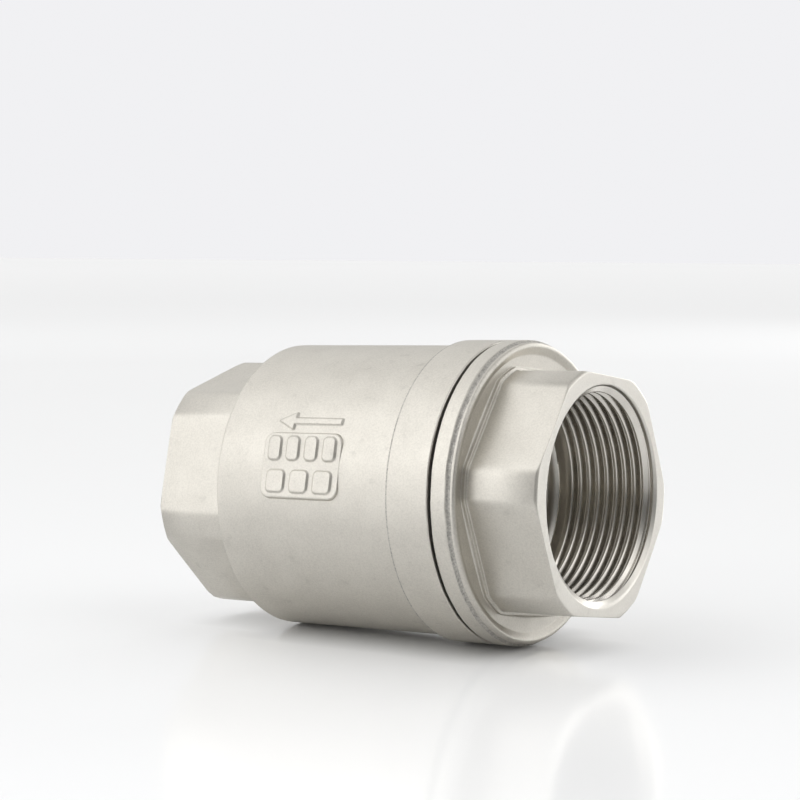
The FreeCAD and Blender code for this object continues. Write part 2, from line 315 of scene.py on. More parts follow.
class Paintshop:
    """Keeps one material for each surface."""

    def __init__(self) -> None:
        """Build every pattern and finish once."""
        groups = {pattern: PatternGroup(pattern) for pattern in Pattern}
        self.materials = {
            surface: finish.material(surface.value, groups[finish.pattern])
            for surface, finish in FINISHES.items()
        }

    def dress(self, mesh: bpy.types.Mesh, surfaces: Sequence[Surface]) -> None:
        """Give a mesh its material slots, in the order of its face indices."""
        for surface in surfaces:
            mesh.materials.append(self.materials[surface])


# ---------------------------------------------------------------- profiles


@dataclass(frozen=True)
class Corner:
    """One corner of an outline that is turned round the valve's axis.

    Args:
        x: Station along the axis, in millimetres.
        rho: Radius, or half the width across flats where the section is a hexagon.
        bend: Radius of the rounding on this corner.
        surface: Finish of the stretch that follows.
        hexness: 1 for a hexagonal section, 0 for a round one.
        turned: How far the hexagon's turned corners stand out past its flats.
        ragged: How far the section wanders along the axis, on a rough cast edge.
    """

    x: float
    rho: float
    bend: float = 0.0
    surface: Surface = Surface.CAST
    hexness: float = 0.0
    turned: float = 0.0
    ragged: float = 0.0

    def towards(self, other: "Corner", share: float) -> "Corner":
        """Return the station part of the way to another corner.

        Args:
            other: The other corner.
            share: Share of the way.

        Returns:
            The station.
        """
        def mix(first: float, second: float) -> float:
            """Return the value part of the way between two."""
            return first + (second - first) * share
        return replace(
            self, x=mix(self.x, other.x), rho=mix(self.rho, other.rho), bend=0.0,
            hexness=mix(self.hexness, other.hexness), turned=mix(self.turned, other.turned),
            ragged=mix(self.ragged, other.ragged))

    def gap(self, other: "Corner") -> float:
        """Return the distance to another corner in the outline's plane."""
        return math.hypot(other.x - self.x, other.rho - self.rho)


BEND_STEPS = 5
GUARD = 0.22
LARGEST_CUT = 0.45
STRAIGHT = 0.02


def trace(corners: Sequence[Corner], closed: bool) -> list[Corner]:
    """Round the corners of an outline and guard its flats with close rings.

    Args:
        corners: The outline's corners in order.
        closed: Whether the last corner joins the first.

    Returns:
        The stations of the finished outline.
    """
    stations: list[Corner] = []
    count = len(corners)
    for index, corner in enumerate(corners):
        if not closed and index in (0, count - 1):
            stations.append(corner)
            continue
        before = corners[index - 1]
        after = corners[(index + 1) % count]
        stations.extend(_round_corner(before, corner, after))
    return stations


def _round_corner(before: Corner, corner: Corner, after: Corner) -> list[Corner]:
    """Give the stations that stand for one corner.

    Args:
        before: The corner before it.
        corner: The corner to round.
        after: The corner after it.

    Returns:
        Its stations, from the side of the corner before.
    """
    into = (corner.x - before.x, corner.rho - before.rho)
    out = (after.x - corner.x, after.rho - corner.rho)
    reach_in = math.hypot(*into)
    reach_out = math.hypot(*out)
    if corner.bend <= 0.0 or min(reach_in, reach_out) < 1e-6:
        return [corner]
    cosine = (into[0] * out[0] + into[1] * out[1]) / (reach_in * reach_out)
    turn = math.acos(max(-1.0, min(1.0, cosine)))
    if turn < STRAIGHT:
        return [corner]
    cut = min(corner.bend * math.tan(turn / 2), LARGEST_CUT * reach_in, LARGEST_CUT * reach_out)
    first = replace(corner.towards(before, cut / reach_in), surface=before.surface)
    last = corner.towards(after, cut / reach_out)
    stations = [_on_arc(first, corner, last, step / BEND_STEPS) for step in range(BEND_STEPS + 1)]
    guard = cut + GUARD
    if guard < 0.5 * reach_in:
        stations.insert(0, replace(corner.towards(before, guard / reach_in), surface=before.surface))
    if guard < 0.5 * reach_out:
        stations.append(corner.towards(after, guard / reach_out))
    return stations


def _on_arc(first: Corner, corner: Corner, last: Corner, share: float) -> Corner:
    """Return the station part of the way along a rounding, near enough a circle's arc.

    Args:
        first: Where the rounding starts.
        corner: The sharp corner.
        last: Where the rounding ends.
        share: Share of the way along.

    Returns:
        The station.
    """
    chord = math.hypot(last.x - first.x, last.rho - first.rho)
    leg = max(first.gap(corner), 1e-9)
    weight = max(chord / (2 * leg), 1e-6)
    a = (1 - share) ** 2
    b = 2 * share * (1 - share) * weight
    c = share ** 2
    total = a + b + c
    x = (a * first.x + b * corner.x + c * last.x) / total
    rho = (a * first.rho + b * corner.rho + c * last.rho) / total
    blend = first.towards(last, share)
    surface = first.surface if share < 0.5 else corner.surface
    return replace(blend, x=x, rho=rho, surface=surface)


@dataclass(frozen=True)
class Thread:
    """A right-hand female pipe thread, 11 turns per inch, from a mouth face to its relief.

    Args:
        low: Station of the thread's low end along the axis.
        high: Station of its high end.
        mouth_low: Whether the mouth is at the low end.
        relief_length: Length of the plain relief behind the thread.
        minor: Radius of the crests.
        pitch: Distance from turn to turn.
        depth_share: Depth of the thread as a share of its pitch.
        bend_share: Radius of crests and roots as a share of the pitch.
        flank: Slope of the flanks in degrees.
        mouth: Radius of the countersink at the face.
        sink: Depth of the countersink.
        relief: Radius of the relief.
        fade: Length over which the thread runs out.
        bend_steps: Steps round each crest and root.
    """

    low: float
    high: float
    mouth_low: bool
    relief_length: float
    minor: float = 22.42
    pitch: float = 25.4 / 11
    depth_share: float = 0.640327
    bend_share: float = 0.137329
    flank: float = 62.5
    mouth: float = 24.2
    sink: float = 1.3
    relief: float = 23.95
    fade: float = 0.5
    bend_steps: int = 6

    def profile(self) -> list[tuple[float, float]]:
        """Return one turn's rounded crest and root as pairs of station and radius.

        Returns:
            Station and radius of each point.
        """
        bend = self.bend_share * self.pitch
        depth = self.depth_share * self.pitch
        turn = []
        for middle, side in ((0.0, 1.0), (self.pitch / 2, -1.0)):
            base = self.minor if side > 0 else self.minor + depth
            for step in range(self.bend_steps + 1):
                tilt = math.radians(self.flank * (2 * step / self.bend_steps - 1))
                turn.append((middle + bend * math.sin(tilt), base + side * bend * (1 - math.cos(tilt))))
        return turn

    def is_sunk(self, x: float) -> bool:
        """Return whether a station lies in the countersink at the mouth."""
        return (x - self.low if self.mouth_low else self.high - x) < self.sink

    def rows(self) -> list[tuple[float, float]]:
        """Return each row's station at the start of the turn, and its radius on the full thread.

        Returns:
            The rows from the thread's low end to its high end.
        """
        turn = self.profile()
        rows: list[tuple[float, float]] = []
        start = self.low - self.pitch
        while not rows or rows[-1][0] < self.high:
            shift = start + self.pitch * (len(rows) // len(turn))
            station, radius = turn[len(rows) % len(turn)]
            rows.append((shift + station, radius))
        return rows

    def place(self, row: tuple[float, float], turn: float) -> tuple[float, float]:
        """Return the station and radius of a row's point.

        Args:
            row: The row's station at the start of the turn, and its radius.
            turn: Share of a full turn from the first angle.

        Returns:
            Station along the axis and radius, with countersink and relief taken in.
        """
        x = min(self.high, max(self.low, row[0] + self.pitch * turn))
        from_mouth = x - self.low if self.mouth_low else self.high - x
        from_end = self.high - x if self.mouth_low else x - self.low
        slope = (self.mouth - self.minor) / self.sink
        radius = max(row[1], self.mouth - slope * from_mouth)
        share = min(1.0, max(0.0, (self.relief_length + self.fade - from_end) / self.fade))
        share = share * share * (3 - 2 * share)
        return x, radius + (self.relief - radius) * share


def smooth_min(first: float, second: float, soft: float) -> float:
    """Return the lesser of two values, with the change between them rounded."""
    overlap = max(soft - abs(first - second), 0.0) / soft
    return min(first, second) - overlap * overlap * soft / 4


FLAT_EDGE = 0.35
SIDE_ANGLE = FULL_TURN / 6
RAGGED_SEED = Vector((3.7, 1.9, 5.3))
RAGGED_SCALE = 9.0


def section_radius(station: Corner, angle: float, roll: float) -> float:
    """Return the radius of a section at an angle.

    Args:
        station: The section.
        angle: Angle round the axis, in degrees.
        roll: Angle of the hexagon's first flat.

    Returns:
        Radius in millimetres.
    """
    if station.hexness <= 0.0:
        return station.rho
    from_flat = math.radians((angle - roll + SIDE_ANGLE / 2) % SIDE_ANGLE - SIDE_ANGLE / 2)
    flat = station.rho / math.cos(from_flat)
    corner = station.rho + station.turned
    shaped = smooth_min(flat, corner, FLAT_EDGE)
    return station.rho + (shaped - station.rho) * station.hexness


def hexagon_angles(roll: float, flat: float, corner: float) -> list[float]:
    """Spread angles round a hexagonal section, close together at its edges.

    Args:
        roll: Angle of the first flat.
        flat: Half the width across flats.
        corner: Radius of the turned corners.

    Returns:
        Angles in degrees over one turn.
    """
    edge = math.degrees(math.acos(flat / corner))
    near = (-2.4, -1.5, -0.9, -0.5, -0.2, 0.1, 0.4, 0.8, 1.4, 2.3)
    flat_steps = 14
    corner_steps = 4
    low = -edge + near[-1]
    high = edge + near[0]
    offsets = [-edge - value for value in reversed(near[1:])]
    offsets += [low + 0.1 + (high - low - 0.2) * step / flat_steps for step in range(flat_steps + 1)]
    offsets += [edge + value for value in near[1:]]
    last = min(edge + near[-1], SIDE_ANGLE / 2)
    span = SIDE_ANGLE - 2 * last
    offsets += [last + span * step / corner_steps for step in range(1, corner_steps)]
    kept = (value for value in offsets if -SIDE_ANGLE / 2 < value <= SIDE_ANGLE - last)
    ordered = sorted(set(round(value, 4) for value in kept))
    return [roll + SIDE_ANGLE * side + value for side in range(6) for value in ordered]


def even_angles(count: int, start: float = 0.0, sweep: float = FULL_TURN) -> list[float]:
    """Spread angles evenly over a full turn, or over a sweep with both its ends.

    Args:
        count: How many angles.
        start: The first angle.
        sweep: The whole sweep in degrees.

    Returns:
        Angles in degrees.
    """
    if sweep >= FULL_TURN:
        return [start + FULL_TURN * index / count for index in range(count)]
    return [start + sweep * index / (count - 1) for index in range(count)]


def point(x: float, radius: float, angle: float) -> Vector:
    """Return a point round the axis, in metres; angles start at +Z and turn towards -Y."""
    turn = math.radians(angle)
    return Vector((x, -radius * math.sin(turn), radius * math.cos(turn))) * MM


class Turning:
    """Builds one piece that is turned, cast or cut round the valve's axis."""

    def __init__(self, name: str) -> None:
        """Start an empty piece.

        Args:
            name: Name of the finished object.
        """
        self.name = name
        self.surfaces: list[Surface] = []
        self.mesh = bmesh.new()

    def index(self, surface: Surface) -> int:
        """Return the material index of a surface, adding it when it is new.

        Args:
            surface: The surface.

        Returns:
            Its material index on this piece.
        """
        if surface not in self.surfaces:
            self.surfaces.append(surface)
        return self.surfaces.index(surface)

    def turn(self, stations: Sequence[Corner], angles: Sequence[float], roll: float = 0.0,
             closed: bool = True, full: bool = True, thread: Thread | None = None) -> None:
        """Add a shell swept round the axis.

        Args:
            stations: The outline's stations.
            angles: Angles of the sweep.
            roll: Angle of a hexagonal section's first flat.
            closed: Whether the outline closes on itself.
            full: Whether the sweep is a full turn; a part turn gets flat ends.
            thread: A thread that closes the outline between its last and first station.
        """
        rows: list[list[bmesh.types.BMVert]] = []
        skins: list[int] = []
        helix = thread.rows() if thread else []
        for row in helix:
            spots = [thread.place(row, (angle - angles[0]) / FULL_TURN) for angle in angles]
            rows.append([self.mesh.verts.new(point(*spot, angle)) for spot, angle in zip(spots, angles)])
            skins.append(self.index(Surface.THREAD))
        for station in stations:
            rows.append([self._spot(station, angle, roll) for angle in angles])
            skins.append(self.index(station.surface))
        self._skin(rows, skins, len(helix), thread, closed, full)

    def _spot(self, station: Corner, angle: float, roll: float) -> bmesh.types.BMVert:
        """Add a vertex of a section, moved along the axis where the section's edge is rough.

        Args:
            station: The section's station.
            angle: The vertex's angle.
            roll: Angle of a hexagonal section's first flat.

        Returns:
            The new vertex.
        """
        x = station.x
        if station.ragged:
            seat = point(0.0, 1.0, angle) / MM * RAGGED_SCALE + RAGGED_SEED
            x += station.ragged * noise.fractal(seat, 1.0, 2.0, 4)
        return self.mesh.verts.new(point(x, section_radius(station, angle, roll), angle))

    def _skin(self, rows: list[list[bmesh.types.BMVert]], skins: list[int], helix: int,
              thread: Thread | None, closed: bool, full: bool) -> None:
        """Join rows of vertices with faces.

        Args:
            rows: The rows in the outline's order.
            skins: Material index of the band after each row.
            helix: How many leading rows belong to a thread.
            thread: The thread, if there is one.
            closed: Whether the last row joins the first.
            full: Whether the rows run right round.
        """
        count = len(rows[0])
        shift = len(thread.profile()) if thread else 0

        def partner(row: int) -> list[bmesh.types.BMVert]:
            """Return the row that this row meets after a full turn.

            Args:
                row: The row's place in the outline.

            Returns:
                The row across the seam.
            """
            if row < helix:
                return rows[min(row + shift, helix - 1)]
            return rows[row]

        def skin_at(band: int, vertex: bmesh.types.BMVert) -> int:
            """Return the material index; the countersink is faced, not cut with the thread.

            Args:
                band: The band's place in the outline.
                vertex: The face's first vertex.

            Returns:
                The material index.
            """
            if band < helix and thread.is_sunk(vertex.co.x / MM):
                return self.index(Surface.FACED)
            return skins[band]

        bands = len(rows) if closed else len(rows) - 1
        for band in range(bands):
            after = (band + 1) % len(rows)
            for column in range(count - 1):
                self._face((rows[band][column], rows[band][column + 1],
                            rows[after][column + 1], rows[after][column]),
                           skin_at(band, rows[band][column]))
            if full:
                self._face((rows[band][-1], partner(band)[0], partner(after)[0], rows[after][-1]),
                           skin_at(band, rows[band][-1]))
        if not full:
            for column in (0, count - 1):
                self._face(tuple(row[column] for row in rows), skins[0])

    def _face(self, corners: tuple[bmesh.types.BMVert, ...], skin: int) -> None:
        """Add one face with its material.

        Args:
            corners: Its vertices in order.
            skin: Its material index.
        """
        distinct = tuple(dict.fromkeys(corners))
        if len(distinct) < 3:
            return
        face = self.mesh.faces.new(distinct)
        face.material_index = skin
        face.smooth = True

    def add_mesh(self, source: bpy.types.Mesh, surface: Surface) -> None:
        """Add a copy of a mesh as one more shell of the piece.

        Args:
            source: The mesh.
            surface: Its finish.
        """
        before = len(self.mesh.faces)
        self.mesh.from_mesh(source)
        self.mesh.faces.ensure_lookup_table()
        for face in self.mesh.faces[before:]:
            face.material_index = self.index(surface)
            face.smooth = True

    def finish(self, shop: Paintshop) -> bpy.types.Object:
        """Close the mesh, turn its faces outwards and make it an object.

        Args:
            shop: Where the piece gets its materials.

        Returns:
            The finished object.
        """
        bmesh.ops.remove_doubles(self.mesh, verts=self.mesh.verts, dist=MERGE_DISTANCE)
        bmesh.ops.dissolve_degenerate(self.mesh, edges=self.mesh.edges, dist=MERGE_DISTANCE / 10)
        bmesh.ops.recalc_face_normals(self.mesh, faces=self.mesh.faces)
        data = bpy.data.meshes.new(self.name)
        self.mesh.to_mesh(data)
        self.mesh.free()
        shop.dress(data, self.surfaces)
        piece = bpy.data.objects.new(self.name, data)
        bpy.context.collection.objects.link(piece)
        LOG.info("%s: %d faces", self.name, len(data.polygons))
        return piece


def outline(surface: Surface, *corners: tuple[float, ...]) -> list[Corner]:
    """Return corners that share a surface.

    Args:
        surface: Finish of the stretches that follow them.
        corners: Station, radius and bend of each, and what else a Corner takes after its surface.

    Returns:
        The corners in order.
    """
    return [Corner(x, rho, bend, surface, *rest) for x, rho, bend, *rest in corners]


def claim(piece: bpy.types.Object, body: str, node: str, slot: str) -> None:
    """Tie a finished piece to the frame.

    Args:
        piece: The piece.
        body: Body that it rides on.
        node: Node that it replaces.
        slot: Material slot of the record; not used.
    """
    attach(piece, body)
    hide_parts(node)


@dataclass(frozen=True)
class Span:
    """Where a node of the frame lies along the axis, in millimetres."""

    low: float
    high: float
    radius: float

    @classmethod
    def of(cls, node: str) -> "Span":
        """Read a node's span from the frame."""
        low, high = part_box(node)
        return cls(low[0] / MM, high[0] / MM, high[2] / MM)


# ---------------------------------------------------------------- geometry nodes


class Grower(Wiring):
    """Builds a Geometry Nodes tree, bakes it on an empty mesh and returns plain geometry."""

    def __init__(self, name: str) -> None:
        """Start a tree with one geometry output.

        Args:
            name: Name of the tree.
        """
        super().__init__(bpy.data.node_groups.new(name, "GeometryNodeTree"))
        self.tree.interface.new_socket(name="Geometry", in_out="OUTPUT", socket_type="NodeSocketGeometry")
        self.start = self.node("NodeGroupInput")
        self.end = self.node("NodeGroupOutput")
        self.values: dict[str, object] = {}

    def ask(self, label: str, value: object, kind: str = "Float") -> object:
        """Add a named input.

        Args:
            label: The input's name.
            value: The value it gets on the modifier.
            kind: The socket's type.

        Returns:
            The input's socket inside the tree.
        """
        socket = self.tree.interface.new_socket(name=label, in_out="INPUT", socket_type="NodeSocket" + kind)
        self.values[socket.identifier] = value
        return self.start.outputs[label]

    def vector(self, **parts: object) -> object:
        """Add a Combine XYZ node and return its vector."""
        return self.node("ShaderNodeCombineXYZ", parts).outputs[0]

    def bake(self, geometry: object, material: bpy.types.Material) -> bpy.types.Mesh:
        """Close the tree, evaluate it and return the result as a plain mesh.

        Args:
            geometry: The tree's last geometry socket.
            material: The material it sets.

        Returns:
            The baked mesh.
        """
        real = self.node("GeometryNodeRealizeInstances", {"Geometry": geometry})
        painted = self.node("GeometryNodeSetMaterial", {"Geometry": real.outputs[0], "Material": material})
        self.feed(self.end, {"Geometry": painted.outputs[0]})
        host = bpy.data.objects.new(self.tree.name, bpy.data.meshes.new(self.tree.name))
        bpy.context.collection.objects.link(host)
        modifier = host.modifiers.new("grow", "NODES")
        modifier.node_group = self.tree
        for identifier, value in self.values.items():
            modifier[identifier] = value
        graph = bpy.context.evaluated_depsgraph_get()
        graph.update()
        mesh = bpy.data.meshes.new_from_object(host.evaluated_get(graph), depsgraph=graph)
        host.modifiers.remove(modifier)
        bpy.data.objects.remove(host)
        return mesh


# ---------------------------------------------------------------- marks on the barrel


@dataclass(frozen=True)
class RaisedShape:
    """A flat outline with rounded corners that can be raised as a cast mark.

    Args:
        corners: Corners of the outline, in millimetres.
        bend: Radius of the outline's corners.
    """

    corners: tuple[tuple[float, float], ...]
    bend: float
    steps: int = 6

    def ring(self, offset: float) -> list[Vector]:
        """Return the outline's points, moved outwards by an offset.

        Args:
            offset: Outward offset; inwards where it is negative.

        Returns:
            As many points for every offset.
        """
        points: list[Vector] = []
        count = len(self.corners)
        for index, corner in enumerate(self.corners):
            here = Vector(corner)
            into = (here - Vector(self.corners[index - 1])).normalized()
            out = (Vector(self.corners[(index + 1) % count]) - here).normalized()
            turn = math.atan2(into.x * out.y - into.y * out.x, into.dot(out))
            side = 1.0 if turn > 0 else -1.0
            outward = Vector((into.y, -into.x))
            mitre = (outward + Vector((out.y, -out.x))).normalized() / math.cos(turn / 2)
            here = here + mitre * offset
            bend = max(0.03, self.bend + offset * side)
            cut = abs(bend * math.tan(turn / 2))
            centre = here - into * cut - outward * side * bend
            for step in range(self.steps + 1):
                spoke = Matrix.Rotation(turn * step / self.steps, 2) @ (outward * side)
                points.append(centre + spoke * bend)
        return points


def raise_shape(shape: RaisedShape, profile: Sequence[tuple[float, float]],
                place: "Placer") -> bpy.types.Mesh:
    """Raise an outline as a closed shell.

    Args:
        shape: The outline.
        profile: Pairs of outward offset and height, from the foot to the top.
        place: Puts a flat point and a height on the valve.

    Returns:
        A closed mesh.
    """
    build = bmesh.new()
    rows = []
    for offset, height in profile:
        rows.append([build.verts.new(place.at(spot, height)) for spot in shape.ring(offset)])
    for low, high in zip(rows, rows[1:]):
        for index in range(len(low)):
            after = (index + 1) % len(low)
            build.faces.new((low[index], low[after], high[after], high[index]))
    for row in (rows[0], rows[-1]):
        cap = build.faces.new(row)
        bmesh.ops.triangulate(build, faces=[cap])
    bmesh.ops.recalc_face_normals(build, faces=build.faces)
    mesh = bpy.data.meshes.new("raised_shape")
    build.to_mesh(mesh)
    build.free()
    return mesh


@dataclass(frozen=True)
class Placer:
    """Puts flat outlines on the barrel or on the tangent plane of its pad.

    Args:
        angle: Angle round the axis of the outline's middle.
        radius: Radius of the barrel, or height of the plane over the axis.
        flat: Whether the outline stays flat.
    """

    angle: float
    radius: float
    flat: bool

    def at(self, spot: Vector, height: float) -> Vector:
        """Return the place in metres of a flat point at a height over the base.

        Args:
            spot: Station along the axis, and way round the barrel from the middle.
            height: Height over the base.

        Returns:
            The point in the valve's frame.
        """
        if self.flat:
            outward = point(0.0, 1.0, self.angle)
            sideways = point(0.0, 1.0, self.angle + 90.0)
            return outward * (self.radius + height) + sideways * spot.y + Vector((spot.x * MM, 0, 0))
        swing = math.degrees(spot.y / self.radius)
        return point(spot.x, self.radius + height, self.angle + swing)


@dataclass(frozen=True)
class BlockRow:
    """A row of plain raised blocks on the pad, in millimetres."""

    count: int
    pitch: float
    length: float
    width: float
    offset: float


@dataclass
class Marks:
    """The cast marks on the barrel: a flow arrow, and a pad with two rows of plain blocks."""

    barrel: float
    arrow_angle: float = 58.7
    arrow_tip: float = -15.2
    arrow_tail: float = 1.8
    head_length: float = 4.4
    head_half: float = 2.05
    shaft_half: float = 0.68
    arrow_bend: float = 0.18
    pad_angle: float = 76.7
    pad_centre: float = -7.1
    pad_length: float = 21.0
    pad_width: float = 14.4
    pad_bend: float = 2.5
    pad_level: float = 32.45
    block_bend: float = 1.1
    rows: tuple[BlockRow, ...] = (
        BlockRow(4, 4.9, 3.2, 5.2, -3.75),
        BlockRow(3, 6.3, 4.6, 4.8, 3.55),
    )
    foot: tuple[tuple[float, float], ...] = (
        (0.55, -0.30), (0.42, -0.03), (0.26, 0.03), (0.12, 0.13), (0.02, 0.28),
        (-0.07, 0.38), (-0.18, 0.43), (-0.32, 0.45), (-0.45, 0.45))
    pad_edge: tuple[tuple[float, float], ...] = (
        (0.30, -1.20), (0.12, -0.75), (0.04, -0.40), (0.0, -0.26),
        (-0.06, -0.13), (-0.18, -0.04), (-0.36, 0.0), (-0.60, 0.0))

    def arrow(self) -> bpy.types.Mesh:
        """Return the flow arrow, wrapped round the barrel.

        Returns:
            A closed mesh.
        """
        neck = self.arrow_tip + self.head_length
        half = ((neck, self.head_half), (neck, self.shaft_half), (self.arrow_tail, self.shaft_half))
        mirrored = tuple((x, -across) for x, across in half)
        shape = RaisedShape(((self.arrow_tip, 0.0), *mirrored, *reversed(half)), self.arrow_bend)
        return raise_shape(shape, self.foot, Placer(self.arrow_angle, self.barrel, False))

    @staticmethod
    def _rectangle(centre: tuple[float, float], length: float, width: float, bend: float) -> RaisedShape:
        """Return a rectangle with rounded corners.

        Args:
            centre: Its middle.
            length: Its side along the axis.
            width: Its side across the axis.
            bend: Radius of its corners.

        Returns:
            The outline, wound as every raised outline is.
        """
        signs = ((-1, -1), (1, -1), (1, 1), (-1, 1))
        return RaisedShape(tuple(
            (centre[0] + along * length / 2, centre[1] + across * width / 2)
            for along, across in signs), bend)

    def pad(self) -> bpy.types.Mesh:
        """Return the flat pad, which stands proud of the barrel at its two long edges."""
        shape = self._rectangle((self.pad_centre, 0.0), self.pad_length, self.pad_width, self.pad_bend)
        return raise_shape(shape, self.pad_edge, Placer(self.pad_angle, self.pad_level, True))

    def block_row(self, row: BlockRow, material: bpy.types.Material) -> bpy.types.Mesh:
        """Grow one row of blocks along the pad.

        Args:
            row: The row's sizes.
            material: Material of the blocks.

        Returns:
            The row as one mesh.
        """
        shape = self._rectangle((0.0, row.offset), row.length, row.width, self.block_bend)
        block = raise_shape(shape, self.foot, Placer(self.pad_angle, self.pad_level, True))
        source = bpy.data.objects.new("block", block)
        bpy.context.collection.objects.link(source)
        grow = Grower("block_row")
        count = grow.ask("Blocks", row.count, "Int")
        pitch = grow.ask("Pitch", row.pitch * MM)
        middle = grow.ask("Middle", self.pad_centre * MM)
        pattern = grow.ask("Block", source, "Object")
        gaps = grow.maths("SUBTRACT", count, 1.0)
        half = grow.maths("MULTIPLY", grow.maths("MULTIPLY", gaps, pitch), 0.5)
        line = grow.node("GeometryNodeMeshLine", {
            "Count": count, "Start Location": grow.vector(X=grow.maths("SUBTRACT", middle, half)),
            "Offset": grow.vector(X=pitch)})
        info = grow.node("GeometryNodeObjectInfo", {"Object": pattern})
        spread = grow.node("GeometryNodeInstanceOnPoints", {
            "Points": line.outputs[0], "Instance": info.outputs["Geometry"]})
        mesh = grow.bake(spread.outputs[0], material)
        bpy.data.objects.remove(source)
        return mesh

    def add_to(self, piece: Turning, shop: Paintshop) -> None:
        """Add every mark to the body's casting.

        Args:
            piece: The body's casting.
            shop: Where the blocks get their material.
        """
        piece.add_mesh(self.arrow(), Surface.CAST)
        piece.add_mesh(self.pad(), Surface.CAST)
        for row in self.rows:
            piece.add_mesh(self.block_row(row, shop.materials[Surface.CAST]), Surface.CAST)


# ---------------------------------------------------------------- castings

SPIDER_PLATE = 4.0
HUB_CHAMFER = 0.6


@dataclass
class BodyCasting:
    """The body: outlet hub, barrel, joint band and the cavity for the poppet."""

    shop: Paintshop
    node: str = "valve_body"
    flat: float = 26.0
    corner: float = 28.4
    roll: float = 15.4
    hub_length: float = 20.2
    barrel: float = 32.4
    band_x: float = 16.5
    painted_shade_edge: float = 0.40
    gap_wander: float = 0.10
    socket: float = 29.1
    socket_x: float = 17.0
    cavity: float = 28.4
    groove: float = 30.0
    groove_width: float = 1.5
    shoulder: float = 26.0
    throat: float = 19.5
    throat_x: float = -25.0
    thread_length: float = 22.7
    relief_length: float = 2.1

    def corners(self, body: Span, guide: Span) -> list[Corner]:
        """Return the outline from the thread's relief round to the mouth.

        Args:
            body: Span of the body in the frame.
            guide: Span of the circlip, which sits against the guide.

        Returns:
            The outline's corners.
        """
        relief_x = body.low + self.thread_length
        hub_x = body.low + self.hub_length
        stand = self.corner - self.flat
        seat_x = guide.low
        ledge_x = seat_x - SPIDER_PLATE
        return [
            *outline(
                Surface.BORE,
                (relief_x, Thread.relief, 0.0), (relief_x, self.throat, 0.4),
                (self.throat_x, self.throat, 1.0), (ledge_x, self.shoulder, 0.3),
                (ledge_x, self.cavity, 0.2), (seat_x, self.cavity, 0.1), (seat_x, self.groove, 0.1),
                (seat_x + self.groove_width, self.groove, 0.1),
                (seat_x + self.groove_width, self.cavity, 0.1),
                (self.socket_x, self.cavity, 0.2), (self.socket_x, self.socket, 0.2)),
            Corner(body.high, self.socket, 0.5, Surface.FACED),
            Corner(body.high, body.radius, 0.34, Surface.CAST, ragged=self.gap_wander),
            # The band's edge, 0.40 mm wide, and its step get the ragged finish; their darker colour is
            # painted shade at the step.
            Corner(self.band_x + self.painted_shade_edge, body.radius, 0.0, Surface.RAGGED, ragged=0.03),
            Corner(self.band_x, body.radius, 0.20, Surface.RAGGED),
            *outline(
                Surface.CAST,
                (self.band_x, self.barrel, 0.10), (hub_x, self.barrel, 0.9),
                (hub_x, self.flat, 1.1, 1.0, stand), (body.low + HUB_CHAMFER, self.flat, 0.0, 1.0, stand)),
            Corner(body.low, self.flat, 0.12, Surface.FACED, 1.0, stand - HUB_CHAMFER),
            Corner(body.low, Thread.mouth + GUARD, 0.0, Surface.FACED),
            Corner(body.low, Thread.mouth, 0.0, Surface.THREAD),
        ]

    def build(self) -> None:
        """Build the casting with its thread and marks."""
        body = Span.of(self.node)
        thread = Thread(body.low, body.low + self.thread_length, True, self.relief_length)
        angles = hexagon_angles(self.roll, self.flat, self.corner)
        piece = Turning("body_casting")
        stations = trace(self.corners(body, Span.of("guide_circlip")), False)
        piece.turn(stations, angles, self.roll, thread=thread)
        Marks(self.barrel).add_to(piece, self.shop)
        claim(piece.finish(self.shop), "valve_body", self.node, "cast_steel")


